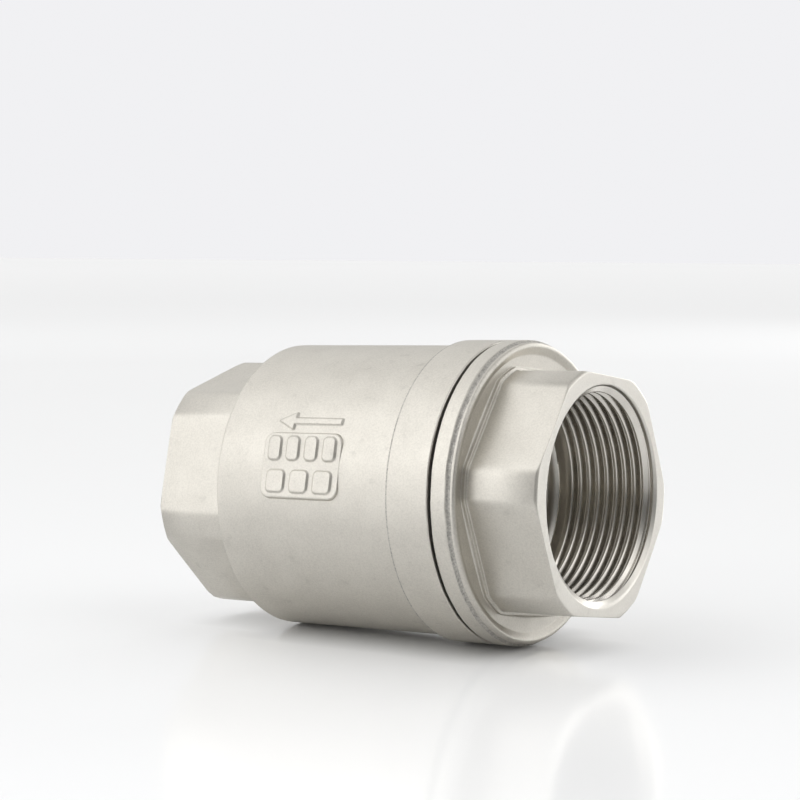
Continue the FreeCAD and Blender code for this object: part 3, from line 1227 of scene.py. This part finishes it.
@dataclass
class CapCasting:
    """The inlet cap: hexagon hub, clamping flange, threaded spigot and seat lip."""

    shop: Paintshop
    node: str = "inlet_cap"
    flat: float = 26.0
    corner: float = 28.3
    roll: float = -8.7
    thread_length: float = 25.3
    relief_length: float = 3.7
    flange_back: float = 27.9
    rim_end: float = 31.75
    flange_front: float = 33.5
    dish_depth: float = 0.95
    gap_wander: float = 0.10
    spigot: float = 29.0
    lip: float = 21.0
    lip_height: float = 0.8
    port: float = 19.0

    def corners(self, cap: Span) -> list[Corner]:
        """Return the outline from the mouth round to the thread's relief.

        Args:
            cap: Span of the cap in the frame.

        Returns:
            The outline's corners.
        """
        stand = self.corner - self.flat
        relief_x = cap.high - self.thread_length
        front = self.flange_front
        dish = front - self.dish_depth
        spigot_x = cap.low + self.lip_height
        return [
            Corner(cap.high, Thread.mouth, 0.0, Surface.FACED),
            Corner(cap.high, Thread.mouth + GUARD, 0.0, Surface.FACED),
            *outline(
                Surface.CAST,
                (cap.high, self.flat, 0.12, 1.0, stand - HUB_CHAMFER),
                (cap.high - HUB_CHAMFER, self.flat, 0.0, 1.0, stand),
                (front + 0.10, self.flat, 0.22, 1.0, stand),
                (front + 0.02, self.flat + 0.80, 0.25, 1.0, stand),
                (dish, self.flat + 0.95, 0.80, 0.8, stand), (dish, 30.4, 1.2, 0.1, stand),
                (front, 32.2, 0.7), (front - 0.35, 32.95, 0.5)),
            *outline(
                # The step at the end of the rim gets the ragged finish; its darker colour is painted shade.
                Surface.RAGGED,
                (self.rim_end + 0.80, 33.08, 0.0, 0.0, 0.0, 0.10),
                (self.rim_end + 0.45, 33.12, 0.0, 0.0, 0.0, 0.22),
                (self.rim_end + 0.10, 33.30, 0.0, 0.0, 0.0, 0.28)),
            Corner(self.rim_end, cap.radius - 0.03, 0.0, Surface.CAST, 0.0, 0.0, 0.20),
            Corner(self.rim_end - 0.5, cap.radius, 0.0, Surface.CAST),
            Corner(self.flange_back, cap.radius, 0.34, Surface.FACED, ragged=self.gap_wander),
            Corner(self.flange_back, self.spigot, 0.3, Surface.BORE),
            *outline(
                Surface.FACED,
                (spigot_x, self.spigot, 0.6), (spigot_x, self.lip, 0.2), (cap.low, self.lip, 0.12)),
            Corner(cap.low, self.port, 0.12, Surface.BORE),
            Corner(relief_x, self.port, 0.25, Surface.FACED),
            Corner(relief_x, Thread.relief, 0.0, Surface.THREAD),
        ]

    def build(self) -> None:
        """Build the cap with its thread."""
        cap = Span.of(self.node)
        thread = Thread(cap.high - self.thread_length, cap.high, False, self.relief_length)
        angles = hexagon_angles(self.roll, self.flat, self.corner)
        piece = Turning("cap_casting")
        piece.turn(trace(self.corners(cap), False), angles, self.roll, thread=thread)
        claim(piece.finish(self.shop), "valve_body", self.node, "cast_steel")


# ---------------------------------------------------------------- inner pieces

SPRING_BOSS = 8.3
DISC_STEP = 3.8


@dataclass(frozen=True)
class TurnedPiece:
    """A plain turned piece that stands for one node.

    Args:
        name: Name of the object.
        node: Node that it replaces.
        body: Body that it rides on.
        slot: Material slot of the record.
        corners: Its closed outline.
        angles: Angles of its sweep.
        roll: Angle of a hexagon's first flat.
        full: Whether it runs right round.
    """

    name: str
    node: str
    body: str
    slot: str
    corners: Sequence[Corner]
    angles: Sequence[float] = tuple(even_angles(128))
    roll: float = 0.0
    full: bool = True

    def build(self, shop: Paintshop) -> None:
        """Build the piece, tie it to its body and hide the node that it replaces.

        Args:
            shop: Where the piece gets its materials.
        """
        piece = Turning(self.name)
        piece.turn(trace(self.corners, True), self.angles, self.roll, full=self.full)
        claim(piece.finish(shop), self.body, self.node, self.slot)


def ring_corners(low: float, high: float, bore: float, outer: float, bend: float,
                 surface: Surface) -> list[Corner]:
    """Return the outline of a plain ring with rounded edges."""
    return outline(surface, (low, bore, bend), (high, bore, bend), (high, outer, bend), (low, outer, bend))


@dataclass
class Poppet:
    """The moving set: disc, soft ring, clamping plate, washer, nut and stem."""

    shop: Paintshop
    body: str = "poppet"
    stem: float = 4.0
    hole: float = 4.03
    seal_bore: float = 15.05
    seal_step: float = 1.2
    collar: float = 7.0
    collar_length: float = 2.0
    edge: float = 0.35
    washer: float = 7.0
    nut_flat: float = 6.5
    nut_roll: float = 10.0
    nut_chamfer: float = 0.4
    nut_stand: tuple[float, float] = (0.45, 0.95)

    def pieces(self) -> list[TurnedPiece]:
        """Return every piece of the poppet, placed by the frame."""
        return [self._disc(), self._seal(), self._plate(), self._washer(), self._nut(), self._stem()]

    def _steel(self, name: str, node: str, corners: Sequence[Corner], *rest: object) -> TurnedPiece:
        """Return a machined piece of the poppet; the rest is its angles and roll."""
        return TurnedPiece(name, node, self.body, "machined_steel", corners, *rest)

    def _disc(self) -> TurnedPiece:
        """Outline the disc with its seal pocket and spring boss.

        Returns:
            The piece, ready to build.
        """
        disc = Span.of("poppet_disc")
        seal = Span.of("seal_ring")
        back = seal.low - DISC_STEP
        front = seal.low + self.seal_step
        pocket = seal.radius + 0.05
        step = self.seal_bore - 0.05
        return self._steel("closing_disc", "poppet_disc", outline(
            Surface.FACED,
            (disc.low, self.hole, 0.0), (disc.low, SPRING_BOSS, self.edge), (back, SPRING_BOSS, 0.6),
            (back, disc.radius, 0.9), (front, disc.radius, 0.15), (front, pocket, 0.1),
            (seal.low, pocket, 0.0), (seal.low, step, 0.0), (disc.high, step, 0.0),
            (disc.high, self.hole, 0.0)))

    def _seal(self) -> TurnedPiece:
        """Outline the soft ring.

        Returns:
            The piece, ready to build.
        """
        seal = Span.of("seal_ring")
        corners = ring_corners(seal.low, seal.high, self.seal_bore, seal.radius, 0.2, Surface.SOFT)
        return TurnedPiece("soft_seat_ring", "seal_ring", self.body, "ptfe", corners)

    def _plate(self) -> TurnedPiece:
        """Outline the clamping plate with its chamfered front edge.

        Returns:
            The piece, ready to build.
        """
        plate = Span.of("seal_retainer")
        return self._steel("clamping_plate", "seal_retainer", outline(
            Surface.FACED,
            (plate.low, self.hole, 0.0), (plate.high, self.hole, 0.3), (plate.high, plate.radius - 0.9, 0.15),
            (plate.high - 0.9, plate.radius, 0.15), (plate.low, plate.radius, 0.1)))

    def _washer(self) -> TurnedPiece:
        """Outline the split washer.

        Returns:
            The piece, ready to build.
        """
        washer = Span.of("lock_washer")
        corners = ring_corners(washer.low, washer.high, self.hole, self.washer, 0.12, Surface.WIRE)
        return TurnedPiece("split_washer", "lock_washer", self.body, "spring_steel",
                           corners, even_angles(96, 5.0, 350.0), full=False)

    def _nut(self) -> TurnedPiece:
        """Outline the nut with its chamfered corners.

        Returns:
            The piece, ready to build.
        """
        nut = Span.of("retainer_nut")
        low, high = self.nut_stand
        sections = ((nut.low, low), (nut.low + self.nut_chamfer, high),
                    (nut.high - self.nut_chamfer, high), (nut.high, low))
        corners = outline(
            Surface.FACED,
            (nut.low, self.hole, 0.2),
            *((x, self.nut_flat, 0.05, 1.0, stand) for x, stand in sections),
            (nut.high, self.hole, 0.3))
        angles = hexagon_angles(self.nut_roll, self.nut_flat, self.nut_flat + high)
        return self._steel("stem_nut", "retainer_nut", corners, angles, self.nut_roll)

    def _stem(self) -> TurnedPiece:
        """Outline the stem with its collar.

        Returns:
            The piece, ready to build.
        """
        stem = Span.of("poppet_stem")
        boss = Span.of("poppet_disc").low
        collar_x = boss - self.collar_length
        return self._steel("guided_stem", "poppet_stem", outline(
            Surface.FACED,
            (stem.low, 0.0, 0.0), (stem.low, self.stem - 0.9, 0.1), (stem.low + 0.9, self.stem, 0.1),
            (collar_x, self.stem, 0.2), (collar_x, self.collar, 0.3), (boss, self.collar, 0.2),
            (boss, self.stem, 0.0), (stem.high - 0.6, self.stem, 0.1), (stem.high, self.stem - 0.6, 0.1),
            (stem.high, 0.0, 0.0)), even_angles(64))

    def build(self) -> None:
        """Build every piece of the poppet."""
        for piece in self.pieces():
            piece.build(self.shop)


@dataclass
class GuideSet:
    """What stays in the body: gasket, spider, bush, circlip and spring."""

    shop: Paintshop
    body: str = "valve_body"
    gasket_bore: float = 29.3
    bush: float = 6.03
    bush_bore: float = 4.06
    bush_flange: float = 1.0
    clip_bore: float = 26.4
    clip_radius: float = 29.8
    land: float = 12.8
    ring_bore: float = 24.5
    arms: int = 4
    arm_width: float = 4.2
    coil: float = 10.4
    wire: float = 0.8
    turns: float = 6.5
    wire_steps: int = 420
    close_coils: tuple[float, float] = (0.14, 0.055)

    def _gasket(self) -> TurnedPiece:
        """Outline the flat joint ring.

        Returns:
            The piece, ready to build.
        """
        gasket = Span.of("cap_gasket")
        # Near-black joint ring: painted shade in the joint gap.
        corners = ring_corners(
            gasket.low, gasket.high, self.gasket_bore, gasket.radius, 0.15, Surface.GASKET)
        return TurnedPiece("joint_ring", "cap_gasket", self.body, "gasket", corners)

    def _bush(self) -> TurnedPiece:
        """Outline the flanged bush.

        Returns:
            The piece, ready to build.
        """
        bush = Span.of("guide_bush")
        inside = self.bush - 0.03
        flange = bush.high - self.bush_flange
        return TurnedPiece("stem_bush", "guide_bush", self.body, "ptfe", outline(
            Surface.SOFT,
            (bush.low, self.bush_bore, 0.2), (bush.high, self.bush_bore, 0.3), (bush.high, bush.radius, 0.25),
            (flange, bush.radius, 0.1), (flange, inside, 0.0), (bush.low, inside, 0.2)), even_angles(72))

    def _circlip(self) -> TurnedPiece:
        """Outline the open retaining ring.

        Returns:
            The piece, ready to build.
        """
        clip = Span.of("guide_circlip")
        corners = ring_corners(clip.low, clip.high, self.clip_bore, self.clip_radius, 0.15, Surface.WIRE)
        return TurnedPiece("retaining_ring", "guide_circlip", self.body, "spring_steel",
                           corners, even_angles(128, 12.0, 336.0), full=False)

    def _arms(self) -> bpy.types.Mesh:
        """Grow the spider's arms: rounded bars repeated round the axis.

        Returns:
            The baked mesh.
        """
        guide = Span.of("guide_circlip").low
        grow = Grower("spider_arms")
        count = grow.ask("Arms", self.arms, "Int")
        width = grow.ask("Arm Width", self.arm_width * MM)
        length = grow.ask("Arm Length", (self.ring_bore - self.land + 3.0) * MM)
        depth = grow.ask("Arm Depth", (SPIDER_PLATE - 0.06) * MM)
        inner = grow.ask("Inner Radius", (self.land - 1.5) * MM)
        middle = grow.ask("Middle", (guide - SPIDER_PLATE / 2) * MM)
        bar = grow.node("GeometryNodeMeshCube", {
            "Size": grow.vector(X=depth, Y=width, Z=length),
            "Vertices X": 4, "Vertices Y": 4, "Vertices Z": 6})
        smooth = grow.node("GeometryNodeSubdivisionSurface", {
            "Mesh": bar.outputs[0], "Level": 2, "Edge Crease": 0.55})
        height = grow.maths("ADD", inner, grow.maths("MULTIPLY", length, 0.5))
        placed = grow.node("GeometryNodeTransform", {
            "Geometry": smooth.outputs[0], "Translation": grow.vector(X=middle, Z=height)})
        line = grow.node("GeometryNodeMeshLine", {"Count": count, "Offset": (0.0, 0.0, 0.0)})
        share = grow.maths("DIVIDE", grow.node("GeometryNodeInputIndex").outputs[0], count)
        turn = grow.maths("ADD", grow.maths("MULTIPLY", share, math.tau), math.pi / 4)
        spread = grow.node("GeometryNodeInstanceOnPoints", {
            "Points": line.outputs[0], "Instance": placed.outputs[0], "Rotation": grow.vector(X=turn)})
        return grow.bake(spread.outputs[0], self.shop.materials[Surface.CAST])

    def _spider(self) -> None:
        """Build the spider from its ring, hub and arms."""
        guide = Span.of("stem_guide")
        front = Span.of("guide_circlip").low
        back = front - SPIDER_PLATE
        angles = even_angles(128)
        piece = Turning("stem_spider")
        rim = ring_corners(back, front, self.ring_bore, guide.radius, 0.3, Surface.CAST)
        piece.turn(trace(rim, True), angles)
        hub = outline(
            Surface.CAST,
            (guide.low, self.bush, 0.1), (guide.high, self.bush, 0.1), (guide.high, SPRING_BOSS, 0.5),
            (front, SPRING_BOSS, 0.4), (front, self.land, 0.4), (back, self.land, 0.5),
            (back, SPRING_BOSS, 0.4), (guide.low, SPRING_BOSS, 0.4))
        piece.turn(trace(hub, True), angles)
        piece.add_mesh(self._arms(), Surface.CAST)
        claim(piece.finish(self.shop), self.body, "stem_guide", "cast_steel")

    def _coil(self) -> bpy.types.Mesh:
        """Grow the spring along its helix, with close coils at both ends.

        Returns:
            The baked mesh.
        """
        low = Span.of("guide_circlip").low + self.wire
        high = Span.of("seal_ring").low - DISC_STEP - self.wire
        grow = Grower("spring_wire")
        turns = grow.ask("Turns", self.turns)
        coil = grow.ask("Coil Radius", self.coil * MM)
        thick = grow.ask("Wire Radius", self.wire * MM)
        start = grow.ask("Low End", low * MM)
        stop = grow.ask("High End", high * MM)
        line = grow.node("GeometryNodeCurvePrimitiveLine")
        fine = grow.node("GeometryNodeResampleCurve", {"Curve": line.outputs[0], "Count": self.wire_steps})
        share = grow.node("GeometryNodeSplineParameter").outputs["Factor"]
        ease = grow.node("ShaderNodeFloatCurve", {"Value": share})
        points = ease.mapping.curves[0].points
        points[0].location = (0.0, 0.0)
        points[1].location = (1.0, 1.0)
        points.new(*self.close_coils)
        points.new(*(1.0 - part for part in self.close_coils))
        ease.mapping.update()
        along = grow.maths("ADD", start, grow.maths(
            "MULTIPLY", ease.outputs[0], grow.maths("SUBTRACT", stop, start)))
        angle = grow.maths("MULTIPLY", grow.maths("MULTIPLY", share, turns), math.tau)
        across = grow.maths("MULTIPLY", grow.maths("COSINE", angle), coil)
        upward = grow.maths("MULTIPLY", grow.maths("SINE", angle), coil)
        bent = grow.node("GeometryNodeSetPosition", {
            "Geometry": fine.outputs[0], "Position": grow.vector(X=along, Y=across, Z=upward)})
        ring = grow.node("GeometryNodeCurvePrimitiveCircle", {"Resolution": 16, "Radius": thick})
        tube = grow.node("GeometryNodeCurveToMesh", {
            "Curve": bent.outputs[0], "Profile Curve": ring.outputs[0], "Fill Caps": True})
        return grow.bake(tube.outputs[0], self.shop.materials[Surface.WIRE])

    def _spring(self) -> None:
        """Build the closing spring at one length and give it a mesh of its own; the real spring shortens as
        the poppet lifts.
        """
        spring = Span.of("return_spring")
        piece = Turning("closing_spring")
        piece.add_mesh(self._coil(), Surface.WIRE)
        result = piece.finish(self.shop)
        claim(result, self.body, "return_spring", "spring_steel")
        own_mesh(result)

    def build(self) -> None:
        """Build every piece that stays in the body."""
        for piece in (self._gasket(), self._bush(), self._circlip()):
            piece.build(self.shop)
        self._spider()
        self._spring()


# ---------------------------------------------------------------- studio


@dataclass(frozen=True)
class Softbox:
    """One square soft studio light, aimed at the valve.

    Args:
        name: Name of the light.
        azimuth: Way round the valve from the camera, in degrees.
        elevation: Height over the horizon, in degrees.
        size: Width of its face in metres.
        power: Power in watts.
    """

    name: str
    azimuth: float
    elevation: float
    size: float
    power: float

    def build(self, camera_azimuth: float, reach: float) -> None:
        """Stand the light in the studio.

        Args:
            camera_azimuth: The camera's azimuth in degrees.
            reach: Distance from the valve in metres.
        """
        data = bpy.data.lights.new(self.name, "AREA")
        data.shape = "SQUARE"
        data.size = self.size
        data.energy = self.power
        light = bpy.data.objects.new(self.name, data)
        light.location = compass(camera_azimuth + self.azimuth, self.elevation) * reach
        light.rotation_euler = (-light.location).to_track_quat("-Z", "Y").to_euler()
        light.visible_camera = False
        bpy.context.collection.objects.link(light)


@dataclass(frozen=True)
class Patch:
    """A soft round patch of the room that is brighter or darker than the rest.

    Args:
        azimuth: Way round the valve from the camera, in degrees.
        elevation: Height over the horizon, in degrees.
        reach: Angle from its middle to its edge, in degrees.
        level: What it adds to the room's light; below zero it is a dark panel.
    """

    azimuth: float
    elevation: float
    reach: float
    level: float
    core: float = 0.35

    def add(self, wiring: Wiring, camera_azimuth: float, total: object) -> object:
        """Add the patch to the room's light.

        Args:
            wiring: The world's node tree.
            camera_azimuth: The camera's azimuth in degrees.
            total: Socket of the light so far.

        Returns:
            Socket of the light with this patch.
        """
        middle = compass(camera_azimuth + self.azimuth, self.elevation)
        place = wiring.node("ShaderNodeTexCoord").outputs["Generated"]
        align = wiring.node("ShaderNodeVectorMath", {0: place, 1: middle}, operation="DOT_PRODUCT")
        fade = wiring.node("ShaderNodeMapRange", {
            "Value": align.outputs["Value"],
            "From Min": math.cos(math.radians(self.reach)),
            "From Max": math.cos(math.radians(self.reach * self.core)),
            "To Max": self.level}, interpolation_type="SMOOTHSTEP")
        return wiring.maths("ADD", total, fade.outputs["Result"])


def compass(azimuth: float, elevation: float) -> Vector:
    """Return the direction of an azimuth, counted from -Y towards +X, and an elevation.

    Args:
        azimuth: Way round in degrees.
        elevation: Height over the horizon in degrees.

    Returns:
        A vector of length 1.
    """
    turn = math.radians(azimuth)
    rise = math.radians(elevation)
    return Vector((math.sin(turn) * math.cos(rise), -math.cos(turn) * math.cos(rise), math.sin(rise)))


@dataclass
class Studio:
    """Floor, light and camera round the valve as it lies on its side."""

    tilt: float = 1.481
    rest_x: float = 16.5
    rest_radius: float = 33.6
    floor_reach: float = 6.0
    floor_cells: int = 24
    floor_colour: Colour = (0.90, 0.905, 0.91)
    floor_roughness: float = 0.14
    azimuth: float = 34.213
    elevation: float = 5.420
    distance: float = 0.52927
    heading: float = 34.397
    pitch: float = -3.253
    lens: float = 104.745
    sensor: float = 36.0
    softboxes: tuple[Softbox, ...] = (
        Softbox("front_high_softbox", 0.0, 50.0, 1.3, 1.6),
        Softbox("left_high_softbox", -60.0, 42.0, 1.3, 7.8),
        Softbox("left_low_softbox", -50.0, 14.0, 1.0, 5.5),
        Softbox("left_side_softbox", -95.0, 14.0, 1.0, 4.6),
        Softbox("right_side_softbox", 95.0, 14.0, 1.0, 3.9),
        Softbox("back_high_softbox", 180.0, 48.0, 1.4, 2.7),
        Softbox("back_left_softbox", -140.0, 16.0, 1.0, 2.5),
        Softbox("back_right_softbox", 140.0, 16.0, 1.0, 9.2),
    )
    patches: tuple[Patch, ...] = (
        Patch(60.0, 42.0, 28.0, 0.90),
        Patch(-114.0, 55.0, 26.0, 0.75),
        Patch(40.0, 6.0, 22.0, -0.38),
        Patch(70.0, 6.0, 22.0, -0.24),
        Patch(5.0, 6.0, 22.0, -0.50),
        Patch(-30.0, 6.0, 22.0, -0.20),
        Patch(10.0, 40.0, 28.0, -0.50),
        Patch(-60.0, 30.0, 28.0, -0.50),
        Patch(140.0, 25.0, 28.0, -0.50),
    )
    light_reach: float = 1.8
    fill: float = 0.54
    darkest: float = 0.02
    paper: Colour = (0.878, 0.878, 0.896)
    # Painted glow of the floor for the camera, and painted sheen added to it at grazing views.
    painted_floor_glow: float = 0.20
    painted_sheen_glow: float = 0.165
    # Reach of the painted contact shade that dims the floor's painted glow near the valve.
    painted_shade_reach: float = 0.010
    graze_start: float = 0.945
    graze_end: float = 0.985

    @property
    def upright(self) -> Vector:
        """Return the floor's normal; the valve's axis leans a little on it."""
        lean = math.radians(self.tilt)
        return Vector((math.sin(lean), 0.0, math.cos(lean)))

    def _floor_material(self) -> bpy.types.Material:
        """Make the glossy floor; the camera alone sees a painted glow on it, with painted sheen towards
        grazing views and painted contact shade near the valve.

        Returns:
            The floor's material.
        """
        material = bpy.data.materials.new("floor_gloss")
        material.use_nodes = True
        wiring = Wiring(material.node_tree)
        # Painted sheen: the floor's glow grows towards grazing views.
        graze = wiring.node("ShaderNodeLayerWeight", {"Blend": 0.5})
        rise = wiring.node("ShaderNodeMapRange", {
            "Value": graze.outputs["Facing"],
            "From Min": self.graze_start, "From Max": self.graze_end,
            "To Min": self.painted_floor_glow, "To Max": self.painted_floor_glow + self.painted_sheen_glow})
        path = wiring.node("ShaderNodeLightPath")
        # Painted contact shade: ambient occlusion dims the painted glow near the valve.
        near = wiring.node("ShaderNodeAmbientOcclusion", {"Distance": self.painted_shade_reach})
        lift = wiring.maths("MULTIPLY", rise.outputs["Result"], path.outputs["Is Camera Ray"])
        wiring.feed(material.node_tree.nodes["Principled BSDF"], {
            "Base Color": (*self.floor_colour, 1.0),
            "Roughness": self.floor_roughness,
            "Emission Color": WHITE,
            "Emission Strength": wiring.maths("MULTIPLY", lift, near.outputs["AO"]),
        })
        return material

    def _floor(self) -> None:
        """Lay the floor against the two rims that the valve rests on."""
        touch = Vector((self.rest_x, 0.0, -self.rest_radius)) * MM
        build = bmesh.new()
        bmesh.ops.create_grid(
            build, x_segments=self.floor_cells, y_segments=self.floor_cells, size=self.floor_reach)
        turn = Vector((0, 0, 1)).rotation_difference(self.upright).to_matrix().to_4x4()
        level = self.upright * self.upright.dot(touch)
        bmesh.ops.transform(build, matrix=Matrix.Translation(level) @ turn, verts=build.verts)
        data = bpy.data.meshes.new("floor")
        build.to_mesh(data)
        build.free()
        data.materials.append(self._floor_material())
        floor = bpy.data.objects.new("floor", data)
        bpy.context.collection.objects.link(floor)
        floor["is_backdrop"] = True

    def _world(self) -> None:
        """Surround the valve with pale light; the camera alone sees plain paper behind it."""
        world = bpy.data.worlds.new("studio")
        world.use_nodes = True
        wiring = Wiring(world.node_tree)
        total = wiring.node("ShaderNodeValue").outputs[0]
        total.default_value = self.fill
        for patch in self.patches:
            total = patch.add(wiring, self.azimuth, total)
        room = world.node_tree.nodes["Background"]
        wiring.feed(room, {"Color": WHITE, "Strength": wiring.maths("MAXIMUM", total, self.darkest)})
        paper = wiring.node("ShaderNodeBackground", {"Color": (*self.paper, 1.0), "Strength": 1.0})
        path = wiring.node("ShaderNodeLightPath")
        choice = wiring.node("ShaderNodeMixShader", {
            0: path.outputs["Is Camera Ray"], 1: room.outputs[0], 2: paper.outputs[0]})
        wiring.feed(world.node_tree.nodes["World Output"], {"Surface": choice.outputs[0]})
        bpy.context.scene.world = world
        bpy.context.scene.view_settings.view_transform = "Standard"

    def _camera(self) -> None:
        """Point the camera, level with the floor."""
        place = compass(self.azimuth, self.elevation)
        forward = -compass(self.heading, -self.pitch)
        right = forward.cross(self.upright).normalized()
        upward = right.cross(forward)
        data = bpy.data.cameras.new("camera")
        data.lens = self.lens
        data.sensor_width = self.sensor
        data.clip_start = 0.01
        camera = bpy.data.objects.new("camera", data)
        rotation = Matrix((right, upward, -forward)).transposed().to_4x4()
        camera.matrix_world = Matrix.Translation(place * self.distance) @ rotation
        bpy.context.collection.objects.link(camera)
        bpy.context.scene.camera = camera

    def build(self) -> None:
        """Build floor, world, lights and camera."""
        self._floor()
        self._world()
        for softbox in self.softboxes:
            softbox.build(self.azimuth, self.light_reach)
        self._camera()


def write_sizes() -> None:
    """Work out the CAD model's box and the visual model's box."""
    boxes = [[list(map(float, corner)) for corner in box] for box in (CAD_BOUNDS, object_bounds())]


def main() -> None:
    """Build the valve and its studio."""
    logging.basicConfig(level=logging.INFO, format="%(name)s: %(message)s")
    shop = Paintshop()
    BodyCasting(shop).build()
    CapCasting(shop).build()
    Poppet(shop).build()
    GuideSet(shop).build()
    Studio().build()
    write_sizes()


if __name__ == "__main__":
    main()
